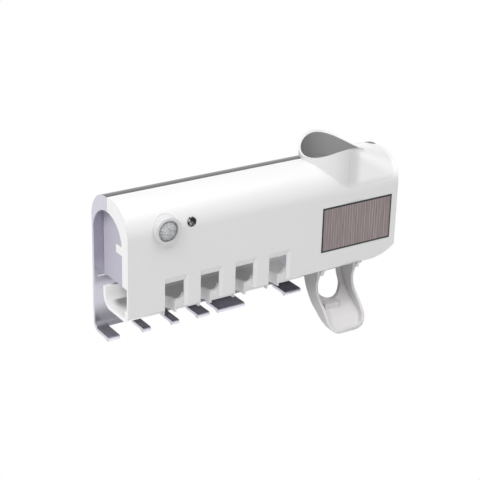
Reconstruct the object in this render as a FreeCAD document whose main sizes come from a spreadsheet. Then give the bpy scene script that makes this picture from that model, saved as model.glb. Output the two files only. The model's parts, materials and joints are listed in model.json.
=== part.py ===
"""Wall-hung toothbrush holder with a lever-worked toothpaste dispenser, as a parametric document.

Millimetres, +Z up, front towards -Y, wall on the plane y = 0.
The origin is the middle of the adhesive pad that meets the wall.
"""
import FreeCAD
import Part
import os
import re
from math import cos, radians, sin, sqrt
from types import SimpleNamespace

from FreeCAD import Placement, Rotation, Vector

SIZES = {
    # Housing
    "length": 260,
    "layout_length": 260,
    "depth": 60,
    "body_height": 90,
    "base_level": -20,
    "plate_wall": 2.5,
    "cover_wall": 2.4,
    "seam_depth": 27,
    "roof_radius": 25,
    "back_radius": 23,
    "end_wall": 2.4,
    "corner_run": 30,
    "corner_rise": 9,
    "fit": 0.2,
    # Wall pad and cover screws
    "pad_thickness": 1,
    "pad_width": 190,
    "pad_height": 50,
    "screw_radius": 1.4,
    "screw_head_radius": 3,
    "screw_head_height": 0.8,
    "screw_reach": 12,
    "post_radius": 3.6,
    "post_gap": 0.4,
    "post_board_gap": 1.9,
    "post_divider_gap": 8.4,
    "post_end_gap": 1,
    "post_right_level": 14,
    # Foot of the wall plate, and its tongues from left to right with the gaps after them
    "foot_radius": 8,
    "foot_drop": 33.1,
    "tongue_reach": 24,
    "gap_root": 4.6,
    "tip_drop": 1.5,
    "tip_length": 4,
    "tongue_a": 10.7,
    "gap_a": 21.3,
    "tongue_b": 7.2,
    "gap_b": 19.8,
    "tongue_c": 6.8,
    "gap_c": 17.7,
    "tongue_d": 11.5,
    "gap_d": 8.5,
    "tongue_e": 26.5,
    "gap_e": 41,
    "tongue_f": 16.8,
    # Open left end
    "arch_radius": 24,
    "arch_from_wall": 26.5,
    "arch_spring": 54,
    "rim_step": 24,
    "panel_inset": 9,
    "panel_thickness": 2,
    "panel_foot": 15.7,
    "divider_gap": 9,
    "latch_level": 50,
    "latch_height": 7,
    "latch_reach": 14,
    "latch_width": 6,
    "slit_left": 3,
    "slit_width": 8,
    "slit_level": 13.4,
    "slit_height": 1.4,
    # Brush windows and rack
    "window_first": 32.4,
    "window_pitch": 32.5,
    "window_width": 18,
    "window_height": 22.2,
    "window_frame_side": 2.9,
    "window_frame_top": 5.1,
    "window_frame_depth": 1.6,
    "rack_gap": 4,
    "rack_reach": 41,
    "rack_wall": 3.2,
    "rack_drop": 4.6,
    "rack_back": 13,
    "rack_front": 5.6,
    "rack_bend": 11,
    "rack_front_bend": 5,
    "neck_width": 9,
    "neck_offset": 1,
    "neck_reach": 14,
    "neck_rim": 1.8,
    "lip_bend": 4.5,
    # Motion sensor, light sensor and solar panel
    "pir_place": 33.5,
    "pir_level": 68,
    "bezel_radius": 11.6,
    "bezel_wall": 3,
    "bezel_proud": 3.8,
    "bezel_back": 9,
    "lens_wall": 0.8,
    "lens_rise": 4.6,
    "sensor_can_radius": 4.1,
    "sensor_can_height": 4.2,
    "eye_place": 56.3,
    "eye_level": 70,
    "eye_radius": 3.9,
    "eye_proud": 0.8,
    "solar_inset": 6,
    "solar_width": 72,
    "solar_foot": 16.4,
    "solar_height": 39.6,
    "solar_thickness": 1.6,
    "solar_pocket": 1.4,
    # Electronics
    "board_width": 52,
    "board_height": 26,
    "board_thickness": 1.6,
    "cell_radius": 9,
    "cell_length": 65,
    "cell_left": 84,
    "cell_level": 70,
    "holder_wall": 2,
    "lamp_left": 24,
    "lamp_gap": 10,
    "lamp_level": 34,
    "lamp_height": 12,
    "lamp_thickness": 1.2,
    "led_size": 3.5,
    "led_height": 1.4,
    "lamp_cover_wall": 1.2,
    # Tower and pump
    "tower_inset": 51.5,
    "tower_radius": 27.5,
    "tower_wall": 2,
    "tower_back": 4.5,
    "tower_rim": 93.3,
    "saddle_radius": 40.7,
    "tower_foot": 48,
    "shoulder_rise": 15.5,
    "shoulder_radius": 4,
    "shoulder_step": 0.3,
    "shoulder_lead": 1.5,
    "shoulder_sink": 0.4,
    "funnel_wall": 1.8,
    "funnel_top": 81,
    "funnel_waist": 58,
    "neck_radius": 11,
    "seal_height": 8,
    "seal_bore": 6.5,
    "pump_radius": 13,
    "pump_bore": 10,
    "pump_flange": 4,
    "pump_foot": 12,
    "inlet_radius": 3,
    "valve_radius": 7,
    "valve_thickness": 1,
    "piston_height": 6,
    "piston_slack": 0.35,
    "piston_level": 20,
    "stem_radius": 5,
    "outlet_radius": 2.4,
    "collar_radius": 10,
    "collar_height": 2.2,
    "nozzle_drop": 12,
    "nozzle_radius": 3.6,
    "spring_wire": 1,
    "spring_turns": 5,
    # Squeeze lever and its pin
    "lever_half": 20,
    "lever_wall": 2.5,
    "lever_drop": 59,
    "lever_top": 3,
    "lever_nose": 9,
    "lever_corner": 13,
    "lever_tail": 33,
    "lever_waist": 12,
    "lever_window_half": 13.5,
    "lever_window_side": 28,
    "lever_window_foot": 38,
    "notch_left": 13,
    "notch_width": 15.5,
    "notch_top": 38,
    "notch_height": 9,
    "notch_depth": 8,
    "pivot_depth": 16.5,
    "pivot_drop": 9,
    "pin_radius": 1.6,
    "pin_slack": 0.05,
    "ear_radius": 4.6,
    "ear_width": 4,
    "ear_gap": 0.4,
    "ear_slot_top": 3,
    "ear_slot_height": 2.5,
    "ear_slot_wall": 1,
    "finger_radius": 2.4,
    "finger_gap": 6.5,
    "touch_gap": 0.3,
}

doc = FreeCAD.newDocument("dispenser")
sheet = doc.addObject("Spreadsheet::Sheet", "Sizes")
for row, (alias, size) in enumerate(SIZES.items(), 1):
    sheet.set(f"A{row}", alias.replace("_", " "))
    sheet.set(f"B{row}", str(size))
    sheet.setAlias(f"B{row}", alias)
doc.recompute()
v = SimpleNamespace(**{alias: float(sheet.get(alias)) for alias in SIZES})

# Places that several pieces share, as expressions on the sheet
LEFT = "-length / 2"
RIGHT = "length / 2"
FRONT = "-depth"
TOP = "base_level + body_height"
PLATE_FACE = "-pad_thickness - plate_wall"
COVER_FACE = "-depth + cover_wall"
TOWER_X = "length / 2 - tower_inset"
TOWER_Y = "-tower_back - tower_radius"
PIVOT_Y = "pivot_depth - depth"
PIVOT_Z = "base_level - pivot_drop"
TOWER_FOOT = "base_level + tower_foot"
EAR_FACE = f"{TOWER_X} + lever_half + ear_gap"
DIVIDER_X = f"{TOWER_X} - tower_radius - divider_gap - panel_thickness"
BEYOND = 5
OVERLAP = 0.4


def bound(text):
    """An expression with each size's name led to its cell."""
    words = re.split(r"([a-z_]+)", text)
    return "".join("Sizes." + word if word in SIZES else word for word in words)


def number(text):
    """The value of an expression on the sheet."""
    return float(sheet.evalExpression(bound(text)))


def from_left(text):
    """A place given from the left end, which moves along as the housing grows longer."""
    return f"({text}) * length / layout_length - length / 2"


def above_base(text):
    return f"base_level + ({text})"


def bind(item, **places):
    for prop, text in places.items():
        item.setExpression(prop, bound(text))


def set_base(item, x, y, z):
    for axis, text in zip("xyz", (x, y, z)):
        item.setExpression(f"Placement.Base.{axis}", bound(text))


def block(name, x, y, z):
    """A box between two expressions on each axis."""
    item = doc.addObject("Part::Box", name)
    for side, (low, high) in zip(("Length", "Width", "Height"), (x, y, z)):
        item.setExpression(side, bound(f"({high}) - ({low})"))
    set_base(item, x[0], y[0], z[0])
    return item


def rod(name, axis, radius, span, x="0", y="0", z="0"):
    """A round bar along one axis, between two expressions on it."""
    item = doc.addObject("Part::Cylinder", name)
    turns = {"x": Rotation(Vector(0, 1, 0), 90), "y": Rotation(Vector(1, 0, 0), -90), "z": Rotation()}
    item.Placement = Placement(Vector(), turns[axis])
    bind(item, Radius=radius, Height=f"({span[1]}) - ({span[0]})")
    places = {"x": x, "y": y, "z": z}
    places[axis] = span[0]
    set_base(item, **places)
    return item


def draw(sketch, outline):
    """A closed outline: points joined by lines, or by an arc where an item is (point on the arc, end)."""
    start = Vector(*outline[0], 0)
    for item in outline[1:] + [outline[0]]:
        if isinstance(item[0], tuple):
            through = Vector(*item[0], 0)
            end = Vector(*item[1], 0)
            sketch.addGeometry(Part.Arc(start, through, end))
        else:
            end = Vector(*item, 0)
            if end.distanceToPoint(start) < 1e-7:
                continue
            sketch.addGeometry(Part.LineSegment(start, end))
        start = end


def new_sketch(body, name, role):
    plane = next(p for p in body.Origin.OriginFeatures if p.Role == role)
    sketch = body.newObject("Sketcher::SketchObject", name)
    sketch.AttachmentSupport = [(plane, "")]
    sketch.MapMode = "FlatFace"
    return sketch


def prism(name, role, outline, span):
    """An outline on an origin plane, padded between two expressions on that plane's normal."""
    body = doc.addObject("PartDesign::Body", name)
    sketch = new_sketch(body, name + "_outline", role)
    draw(sketch, outline)
    low, high = span
    start = f"-({high})" if role == "XZ_Plane" else low
    sketch.setExpression("AttachmentOffset.Base.z", bound(start))
    pad = body.newObject("PartDesign::Pad", name + "_pad")
    pad.Profile = sketch
    bind(pad, Length=f"({high}) - ({low})")
    return body


def turned(name, outline, x, y, z="0", facing_front=False):
    """A profile of (radius, height) points turned about its own axis, upright or towards the front."""
    body = doc.addObject("PartDesign::Body", name)
    sketch = new_sketch(body, name + "_profile", "XZ_Plane")
    draw(sketch, outline)
    turn = body.newObject("PartDesign::Revolution", name + "_turn")
    turn.Profile = sketch
    turn.ReferenceAxis = (sketch, ["V_Axis"])
    turn.Angle = 360
    if facing_front:
        body.Placement = Placement(Vector(), Rotation(Vector(1, 0, 0), 90))
    set_base(body, x, y, z)
    return body


def join(name, *items):
    fused = doc.addObject("Part::MultiFuse", name)
    fused.Shapes = list(items)
    fused.Refine = False
    return fused


def cut(name, base, *tools):
    result = base
    for count, tool in enumerate(tools, 1):
        step = doc.addObject("Part::Cut", name if count == len(tools) else f"{name}_step_{count}")
        step.Base = result
        step.Tool = tool
        result = step
    result.Refine = True
    return result


def common(name, *items):
    shared = doc.addObject("Part::MultiCommon", name)
    shared.Shapes = list(items)
    return shared


def corner(centre, radius, angle):
    return (centre[0] + radius * cos(radians(angle)), centre[1] + radius * sin(radians(angle)))


def bend(centre, radius, first, last):
    """The middle and the end of an arc about a centre, for an outline."""
    return (corner(centre, radius, (first + last) / 2), corner(centre, radius, last))


def cap(radius, rise, level):
    """The middle and the end of a dome's profile from its rim in to its axis, for an outline."""
    ball = (radius * radius + rise * rise) / (2 * rise)
    middle = (radius / 2, level + rise - ball + sqrt(ball * ball - radius * radius / 4))
    return (middle, (0, level + rise))


BOARD_LEFT = from_left("pir_place") + " - bezel_radius - cover_wall"
POST_LEVEL = above_base("cell_level - cell_radius - holder_wall - post_gap - post_radius")
POSTS = [
    (f"{BOARD_LEFT} + board_width + post_board_gap + post_radius", POST_LEVEL),
    (f"{DIVIDER_X} - post_divider_gap - post_radius", POST_LEVEL),
    (f"{RIGHT} - end_wall - post_end_gap - post_radius", above_base("post_right_level")),
]
NODES = {}


def node(label, item):
    item.Label = label
    NODES[label] = item
    return item


def group(label, items):
    """Separate like solids kept under one name."""
    gathered = doc.addObject("Part::Compound", label)
    gathered.Links = list(items)
    return node(label, gathered)


def arch_tool():
    """The opening in the left end: upright sides under a half round."""
    middle = -v.arch_from_wall
    spring = v.base_level + v.arch_spring
    foot = v.base_level + v.rim_step
    front = middle - v.arch_radius
    back = middle + v.arch_radius
    outline = [(front, foot), (back, foot), (back, spring), bend((middle, spring), v.arch_radius, 0, 180)]
    return prism("arch_tool", "YZ_Plane", outline, (f"{LEFT} - {BEYOND}", f"{LEFT} + end_wall + {BEYOND}"))


def tower_tool(name, slack):
    """A plug that clears the tower, from under the roof to above it."""
    low = above_base("tower_foot")
    return rod(name, "z", f"tower_radius + {slack}", (low, f"{TOP} + tower_radius"), TOWER_X, TOWER_Y)


def saddle(name, radius):
    """A level bar across the tower whose underside shapes the rim, which is lowest at its sides."""
    return rod(name, "x", radius, (f"{TOWER_X} - 2 * tower_radius", f"{TOWER_X} + 2 * tower_radius"),
               y=TOWER_Y, z=above_base("tower_rim + saddle_radius"))


def wall_plate(arch):
    """Silver back: roof strip, wall face and forward foot from one bent section, with its two ends."""
    top = number(TOP)
    back = -v.pad_thickness
    wall = v.plate_wall
    sole = v.base_level - v.foot_drop
    roof_centre = (back - v.back_radius, top - v.back_radius)
    foot_centre = (back - v.foot_radius, sole + v.foot_radius)
    tip = -v.tongue_reach
    section = [
        (-v.seam_depth, top),
        (roof_centre[0], top),
        bend(roof_centre, v.back_radius, 90, 0),
        (back, foot_centre[1]),
        bend(foot_centre, v.foot_radius, 0, -90),
        (tip + v.tip_length, sole),
        (tip, sole - v.tip_drop),
        ((tip - (wall + v.tip_drop) / 2, sole + (wall - v.tip_drop) / 2), (tip, sole + wall)),
        (foot_centre[0], sole + wall),
        bend(foot_centre, v.foot_radius - wall, -90, 0),
        (back - wall, roof_centre[1]),
        bend(roof_centre, v.back_radius - wall, 0, 90),
        (-v.seam_depth, top - wall),
    ]
    sheet_metal = prism("plate_section", "YZ_Plane", section, (LEFT, RIGHT))
    cheek = [
        (-v.seam_depth, v.base_level),
        (-v.seam_depth, top),
        (roof_centre[0], top),
        bend(roof_centre, v.back_radius, 90, 0),
        (back, v.base_level),
    ]
    left_blank = prism("left_cheek_blank", "YZ_Plane", cheek, (LEFT, f"{LEFT} + end_wall"))
    left_cheek = cut("left_cheek", left_blank, arch,
                     block("left_cheek_foot", (f"{LEFT} - {BEYOND}", f"{LEFT} + end_wall + {BEYOND}"),
                           ("-depth", PLATE_FACE), (f"base_level - {BEYOND}", above_base("rim_step + fit"))))
    right_cheek = prism("right_cheek", "YZ_Plane", cheek, (f"{RIGHT} - end_wall", RIGHT))
    cuts = []
    reached = "0"
    for letter in "abcdef":
        start = f"{reached} + tongue_{letter}"
        reached = f"{start} + gap_{letter}" if f"gap_{letter}" in SIZES else f"layout_length + {BEYOND}"
        cuts.append(block(f"tongue_gap_{letter}", (from_left(start), from_left(reached)),
                          (f"-tongue_reach - {BEYOND}", "-gap_root"),
                          (f"base_level - foot_drop - {BEYOND}", "base_level - foot_drop + foot_radius")))
    plate = join("plate_joined", sheet_metal, left_cheek, right_cheek)
    through = (f"{PLATE_FACE} - {BEYOND}", f"{BEYOND}")
    holes = [rod(f"plate_hole_{n}", "y", "screw_radius + fit", through, x, z=z)
             for n, (x, z) in enumerate(POSTS, 1)]
    slit = block("plate_slit", (from_left("slit_left"), from_left("slit_left + slit_width")), through,
                 (above_base("slit_level"), above_base("slit_level + slit_height")))
    cuts += [slit, tower_tool("plate_tower_hole", "fit"), *holes]
    return node("wall_plate", cut("wall_plate", plate, *cuts))


def ear(name, low, high):
    """A rounded lug of the cover that holds one end of the lever's pin."""
    y = number(PIVOT_Y)
    z = number(PIVOT_Z)
    r = v.ear_radius
    front = number(COVER_FACE) - OVERLAP
    root = v.base_level + v.pivot_drop
    outline = [
        (front, root),
        (front, v.base_level + OVERLAP),
        (y - r, z),
        bend((y, z), r, 180, 360),
        (y + r, root),
    ]
    return prism(name, "YZ_Plane", outline, (low, high))


def window_bevel(name, left):
    """A frame that slopes in to a window from the front face, on its top and right sides."""
    bevel = doc.addObject("Part::Wedge", name)
    low = f"base_level - {BEYOND}"
    bind(bevel,
         Xmin=from_left(left), X2min=from_left(left), Zmin=low, Z2min=low,
         Ymin=f"{FRONT} - window_frame_depth", Ymax=f"{FRONT} + window_frame_depth",
         Xmax=from_left(f"{left} + window_width + 2 * window_frame_side"),
         X2max=from_left(f"{left} + window_width"),
         Zmax=above_base("window_height + 2 * window_frame_top"), Z2max=above_base("window_height"))
    return bevel


def shoulder(name, inset, end, radius, back):
    """The swell from the tower to the right end: a roof edge that grows rounder along the loft."""
    body = doc.addObject("PartDesign::Body", name)
    low = v.base_level + v.tower_foot + inset / 2
    near = -v.depth + v.shoulder_step + inset
    peak = number(TOP) + v.shoulder_rise - inset
    levels = [
        (f"{TOWER_X} - shoulder_lead", near, peak, radius),
        (end, near + v.shoulder_step, number(TOP) - v.shoulder_sink - inset, v.roof_radius - inset),
    ]
    sketches = []
    for count, (place, front, top, round_edge) in enumerate(levels, 1):
        centre = (front + round_edge, top - round_edge)
        sketch = new_sketch(body, f"{name}_section_{count}", "YZ_Plane")
        edge = bend(centre, round_edge, 90, 180)
        draw(sketch, [(back, low), (back, top), (centre[0], top), edge, (front, low)])
        sketch.setExpression("AttachmentOffset.Base.z", bound(place))
        sketches.append(sketch)
    loft = body.newObject("PartDesign::AdditiveLoft", name + "_loft")
    loft.Profile = sketches[0]
    loft.Sections = sketches[1:]
    loft.Ruled = True
    return body


def front_cover(arch):
    """White moulding: quarter-round shell, open left end, tower, brush windows, posts and lever ears."""
    top = number(TOP)
    front = -v.depth
    wall = v.cover_wall
    centre = (front + v.roof_radius, top - v.roof_radius)
    shell = [
        (-v.seam_depth, top),
        (centre[0], top),
        bend(centre, v.roof_radius, 90, 180),
        (front, v.base_level),
        (front + wall, v.base_level),
        (front + wall, centre[1]),
        bend(centre, v.roof_radius - wall, 180, 90),
        (-v.seam_depth, top - wall),
    ]
    cheek = [
        (-v.seam_depth, top),
        (centre[0], top),
        bend(centre, v.roof_radius, 90, 180),
        (front, v.base_level),
        (-v.seam_depth, v.base_level),
    ]
    left_blank = prism("left_rim_blank", "YZ_Plane", cheek, (LEFT, f"{LEFT} + end_wall"))
    left_rim = cut("left_rim", left_blank, arch,
                   block("left_rim_foot", (f"{LEFT} - {BEYOND}", f"{LEFT} + end_wall + {BEYOND}"),
                         (COVER_FACE, "0"), (f"base_level - {BEYOND}", above_base("rim_step + fit"))))
    right_wall = prism("right_wall", "YZ_Plane", cheek, (f"{RIGHT} - end_wall", RIGHT))
    tower = rod("tower_tube", "z", "tower_radius", (TOWER_FOOT, f"{TOP} + tower_radius"), TOWER_X, TOWER_Y)
    posts = [rod(f"post_{n}", "y", "post_radius", (f"{COVER_FACE} - {OVERLAP}", PLATE_FACE), x, z=z)
             for n, (x, z) in enumerate(POSTS, 1)]
    arm_face = "lever_half - lever_wall - ear_gap"
    ears = [ear("ear_left", f"{TOWER_X} - ({arm_face})", f"{TOWER_X} - ({arm_face}) + ear_width"),
            ear("ear_right", EAR_FACE, f"{EAR_FACE} + ear_width")]
    latch = block("latch", (LEFT, f"{LEFT} + latch_width"),
                  (f"{COVER_FACE} - {OVERLAP}", f"{COVER_FACE} + latch_reach + cover_wall"),
                  (above_base("latch_level"), above_base("latch_level + latch_height")))
    swell = shoulder("swell", 0, f"{RIGHT} - end_wall / 2", v.shoulder_radius, -v.seam_depth)
    body = prism("cover_shell", "YZ_Plane", shell, (LEFT, RIGHT))
    solid = join("cover_joined", tower, body, left_rim, right_wall, latch, swell, *posts, *ears)
    inside = shoulder("swell_inside", v.cover_wall, f"{RIGHT} - end_wall", 0.4 * v.shoulder_radius,
                      -v.seam_depth + BEYOND)
    hollow = cut("swell_hollow", inside, tower_tool("swell_tower", "0"),
                 saddle("swell_saddle", "saddle_radius + cover_wall"))
    bore = rod("tower_bore", "z", "tower_radius - tower_wall",
               (f"{TOWER_FOOT} - {BEYOND}", f"{TOP} + 2 * tower_radius"), TOWER_X, TOWER_Y)
    ear_slot = block("ear_slot", (f"{EAR_FACE} + ear_slot_wall", f"{EAR_FACE} + ear_width - ear_slot_wall"),
                     (FRONT, PIVOT_Y),
                     ("base_level - ear_slot_top - ear_slot_height", "base_level - ear_slot_top"))
    tools = [hollow, bore, saddle("tower_saddle", "saddle_radius"), ear_slot]
    for count in range(4):
        left = f"window_first + {count} * window_pitch"
        tools.append(block(f"window_{count}", (from_left(left), from_left(f"{left} + window_width")),
                           (f"{FRONT} - {BEYOND}", f"{COVER_FACE} + {OVERLAP}"),
                           (f"base_level - {BEYOND}", above_base("window_height"))))
        tools.append(window_bevel(f"window_frame_{count}", left))
    tools.append(rod("bezel_hole", "y", "bezel_radius", (f"{FRONT} - {BEYOND}", f"{FRONT} + roof_radius"),
                     from_left("pir_place"), z=above_base("pir_level")))
    tools.append(rod("eye_hole", "y", "eye_radius", (f"{FRONT} - {BEYOND}", f"{COVER_FACE} + {BEYOND}"),
                     from_left("eye_place"), z=above_base("eye_level")))
    tools.append(block("solar_recess", (f"{RIGHT} - solar_inset - solar_width", f"{RIGHT} - solar_inset"),
                       (f"{FRONT} - {BEYOND}", f"{FRONT} + solar_pocket"),
                       (above_base("solar_foot"), above_base("solar_foot + solar_height"))))
    right = v.length / 2
    sweep = [
        (right - v.corner_run, v.base_level - BEYOND),
        (right - v.corner_run, v.base_level),
        ((right - 0.4 * v.corner_run, v.base_level + 0.28 * v.corner_rise),
         (right, v.base_level + v.corner_rise)),
        (right + BEYOND, v.base_level + v.corner_rise),
        (right + BEYOND, v.base_level - BEYOND),
    ]
    tools.append(prism("corner_sweep", "XZ_Plane", sweep, (f"{FRONT} - {BEYOND}", "0")))
    tools.append(rod("ear_bore", "x", "pin_radius",
                     (f"{TOWER_X} - 2 * lever_half", f"{TOWER_X} + 2 * lever_half"), y=PIVOT_Y, z=PIVOT_Z))
    for n, (x, z) in enumerate(POSTS, 1):
        tools.append(rod(f"post_bore_{n}", "y", "screw_radius",
                         (f"{PLATE_FACE} - screw_reach", f"{PLATE_FACE} + {BEYOND}"), x, z=z))
    return node("front_cover", cut("front_cover", solid, *tools))


def inner_outline(foot, slack):
    """The inside of the closed housing across its length, down to a foot level."""
    top = number(TOP)
    front = -v.depth + v.cover_wall + slack
    back = -v.pad_thickness - v.plate_wall - slack
    thick = max(v.cover_wall, v.plate_wall)
    roof = top - thick - slack
    front_radius = v.roof_radius - v.cover_wall - slack
    back_radius = v.back_radius - v.plate_wall - slack
    front_centre = (front + front_radius, roof - front_radius)
    back_centre = (back - back_radius, roof - back_radius)
    return [
        (front, foot),
        (front, front_centre[1]),
        bend(front_centre, front_radius, 180, 90),
        (back_centre[0], roof),
        bend(back_centre, back_radius, 90, 0),
        (back, foot),
    ]


def end_panels():
    """The recessed panel seen in the left end, and the wall between brushes and pump."""
    foot = v.base_level + v.panel_foot
    outline = inner_outline(foot, v.fit)
    node("end_panel", prism("end_panel", "YZ_Plane", outline,
                            (from_left("panel_inset"), from_left("panel_inset + panel_thickness"))))
    node("divider", prism("divider", "YZ_Plane", outline, (DIVIDER_X, f"{DIVIDER_X} + panel_thickness")))


def lip_corner(name, right):
    """A hollow rounding that leads the rack's lip up to the right side of a window."""
    top = above_base("rack_front")
    lip = (COVER_FACE, f"{COVER_FACE} + rack_wall")
    filler = block(f"{name}_filler", (f"{right} - lip_bend", f"{right} + lip_bend"), lip,
                   (f"{top} - rack_wall", f"{top} + lip_bend"))
    round_tool = rod(f"{name}_round", "y", "lip_bend",
                     (f"{FRONT} - {BEYOND}", f"{COVER_FACE} + 2 * rack_wall"),
                     f"{right} - lip_bend", z=f"{top} + lip_bend")
    return cut(name, filler, round_tool)


def brush_rack():
    """White trough behind the windows, with a raised rim round each neck slot."""
    front = number(COVER_FACE)
    back = front - v.cover_wall + v.rack_reach
    low = v.base_level - v.rack_drop
    wall = v.rack_wall
    centre = (back - v.rack_bend, low + v.rack_bend)
    near = (front + v.rack_front_bend, low + v.rack_front_bend)
    section = [
        (front, v.base_level + v.rack_front),
        (front, near[1]),
        bend(near, v.rack_front_bend, 180, 270),
        (centre[0], low),
        bend(centre, v.rack_bend, -90, 0),
        (back, v.base_level + v.rack_back),
        (back - wall, v.base_level + v.rack_back),
        (back - wall, centre[1]),
        bend(centre, v.rack_bend - wall, 0, -90),
        (near[0], low + wall),
        bend(near, v.rack_front_bend - wall, 270, 180),
        (front + wall, v.base_level + v.rack_front),
    ]
    trough = prism("rack_trough", "YZ_Plane", section, (LEFT, f"{DIVIDER_X} - rack_gap"))
    rims = []
    slots = []
    for count in range(4):
        left = f"window_first + {count} * window_pitch + neck_offset"
        middle = from_left(f"{left} + neck_width / 2")
        end = f"{FRONT} + neck_reach - neck_width / 2"
        levels = ("base_level - rack_drop", above_base("rack_front"))
        through = (f"base_level - rack_drop - {BEYOND}", f"base_level + rack_front + {BEYOND}")
        rims.append(block(f"neck_rim_{count}",
                          (from_left(f"{left} - neck_rim"), from_left(f"{left} + neck_width + neck_rim")),
                          (COVER_FACE, end), levels))
        rims.append(rod(f"neck_rim_end_{count}", "z", "neck_width / 2 + neck_rim", levels, middle, end))
        slots.append(block(f"neck_slot_{count}", (from_left(left), from_left(f"{left} + neck_width")),
                           (f"{FRONT} - {BEYOND}", end), through))
        slots.append(rod(f"neck_slot_end_{count}", "z", "neck_width / 2", through, middle, end))
        rims.append(lip_corner(f"lip_corner_{count}", from_left(f"{left} - neck_offset + window_width")))
    return node("brush_rack", cut("brush_rack", join("rack_joined", trough, *rims), *slots))


def motion_sensor():
    """Round bezel, domed lens and sensor can, stacked on the control board."""
    x = from_left("pir_place")
    z = above_base("pir_level")
    outer = v.bezel_radius
    inner = outer - v.bezel_wall
    back = v.bezel_back
    lip = 1.2
    bezel = [
        (inner, 0),
        (outer, 0),
        (outer, back + v.bezel_proud - lip),
        ((outer - 0.3 * lip, back + v.bezel_proud - 0.3 * lip), (outer - lip, back + v.bezel_proud)),
        (inner, back + v.bezel_proud),
    ]
    board_y = f"{FRONT} + bezel_back"
    node("pir_bezel", turned("pir_bezel", bezel, x, board_y, z, True))
    seat = back + v.bezel_proud - v.lens_rise / 2
    radius = inner
    rise = v.lens_rise
    ball = (radius * radius + rise * rise) / (2 * rise)
    thin = ball - v.lens_wall
    low = seat + rise - ball
    inside = sqrt(thin * thin - (seat - low) ** 2)
    half = radius / 2
    lens = [
        (0, seat + rise),
        ((half, low + sqrt(ball * ball - half * half)), (radius, seat)),
        (radius, 0),
        (radius - v.lens_wall, 0),
        (radius - v.lens_wall, seat - v.lens_wall),
        (inside, seat),
        ((inside / 2, low + sqrt(thin * thin - inside * inside / 4)), (0, seat + rise - v.lens_wall)),
    ]
    node("pir_lens", turned("pir_lens", lens, x, board_y, z, True))
    can = v.sensor_can_height
    can_radius = v.sensor_can_radius
    flange = 0.6
    brim = can_radius + flange
    outline = [(0, 0), (brim, 0), (brim, flange), (can_radius, flange), (can_radius, can), (0, can)]
    node("pir_sensor", turned("pir_sensor", outline, x, board_y, z, True))


def light_sensor():
    """Small dark eye beside the motion sensor, with a lead stub to the board."""
    radius = v.eye_radius
    reach = v.bezel_back + v.eye_proud
    dome = 0.9
    outline = [
        (0, 0),
        (0.55 * radius, 0),
        (0.55 * radius, 0.5 * v.bezel_back),
        (radius, 0.5 * v.bezel_back),
        (radius, reach - dome),
        cap(radius, dome, reach - dome),
    ]
    node("light_sensor", turned("light_sensor", outline, from_left("eye_place"), f"{FRONT} + bezel_back",
                                above_base("eye_level"), True))


def electronics():
    """Control board, cell and its cradle, lamp strip with its lamps and clear cover, and the solar panel."""
    board_front = f"{FRONT} + bezel_back"
    board_foot = above_base("pir_level - board_height * 0.6")
    node("control_board", block("control_board", (BOARD_LEFT, f"{BOARD_LEFT} + board_width"),
                                (board_front, f"{board_front} + board_thickness"),
                                (board_foot, f"{board_foot} + board_height")))
    reach = "cell_radius + holder_wall"
    cell_y = f"{PLATE_FACE} - holder_wall - cell_radius - back_radius / 3"
    cell_z = above_base("cell_level")
    cell_start = from_left("cell_left")
    cell_end = f"{cell_start} + cell_length"
    cell = rod("cell", "x", "cell_radius - fit", (cell_start, cell_end), y=cell_y, z=cell_z)
    tip = rod("cell_tip", "x", "cell_radius / 3", (cell_end, f"{cell_end} + holder_wall / 2"),
              y=cell_y, z=cell_z)
    node("battery_cell", join("battery_cell", cell, tip))
    cradle = block("cradle", (f"{cell_start} - holder_wall", f"{cell_end} + 2 * holder_wall"),
                   (f"{cell_y} - ({reach})", PLATE_FACE),
                   (above_base(f"cell_level - ({reach})"), above_base("cell_level - cell_radius / 3")))
    hollow = rod("cradle_hollow", "x", "cell_radius", (f"{cell_start} - fit", f"{cell_end} + holder_wall"),
                 y=cell_y, z=cell_z)
    node("battery_holder", cut("battery_holder", cradle, hollow))
    strip_start = from_left("lamp_left")
    strip_end = f"{DIVIDER_X} - lamp_gap"
    strip_y = f"{PLATE_FACE} - lamp_thickness"
    strip_low = above_base("lamp_level")
    strip_high = f"{strip_low} + lamp_height"
    node("lamp_board", block("lamp_board", (strip_start, strip_end), (strip_y, PLATE_FACE),
                             (strip_low, strip_high)))
    lamps = []
    led_low = above_base("lamp_level + (lamp_height - led_size) / 2")
    for count in range(4):
        left = f"window_first + {count} * window_pitch + (window_width - led_size) / 2"
        lamps.append(block(f"lamp_{count}", (from_left(left), from_left(f"{left} + led_size")),
                           (f"{strip_y} - led_height", strip_y), (led_low, f"{led_low} + led_size")))
    group("uv_lamps", lamps)
    rise = "led_height + lamp_cover_wall + touch_gap"
    shade = block("shade", (strip_start, strip_end), (f"{strip_y} - ({rise})", strip_y),
                  (strip_low, strip_high))
    room = block("shade_room", (f"{strip_start} + lamp_cover_wall", f"{strip_end} - lamp_cover_wall"),
                 (f"{strip_y} - led_height - touch_gap", f"{strip_y} + {BEYOND}"),
                 (f"{strip_low} + lamp_cover_wall", f"{strip_high} - lamp_cover_wall"))
    node("lamp_cover", cut("lamp_cover", shade, room))
    node("solar_panel", block("solar_panel",
                              (f"{RIGHT} - solar_inset - solar_width + fit", f"{RIGHT} - solar_inset - fit"),
                              (f"{FRONT} + solar_pocket - solar_thickness", f"{FRONT} + solar_pocket"),
                              (above_base("solar_foot + fit"), above_base("solar_foot + solar_height - fit"))))


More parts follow.
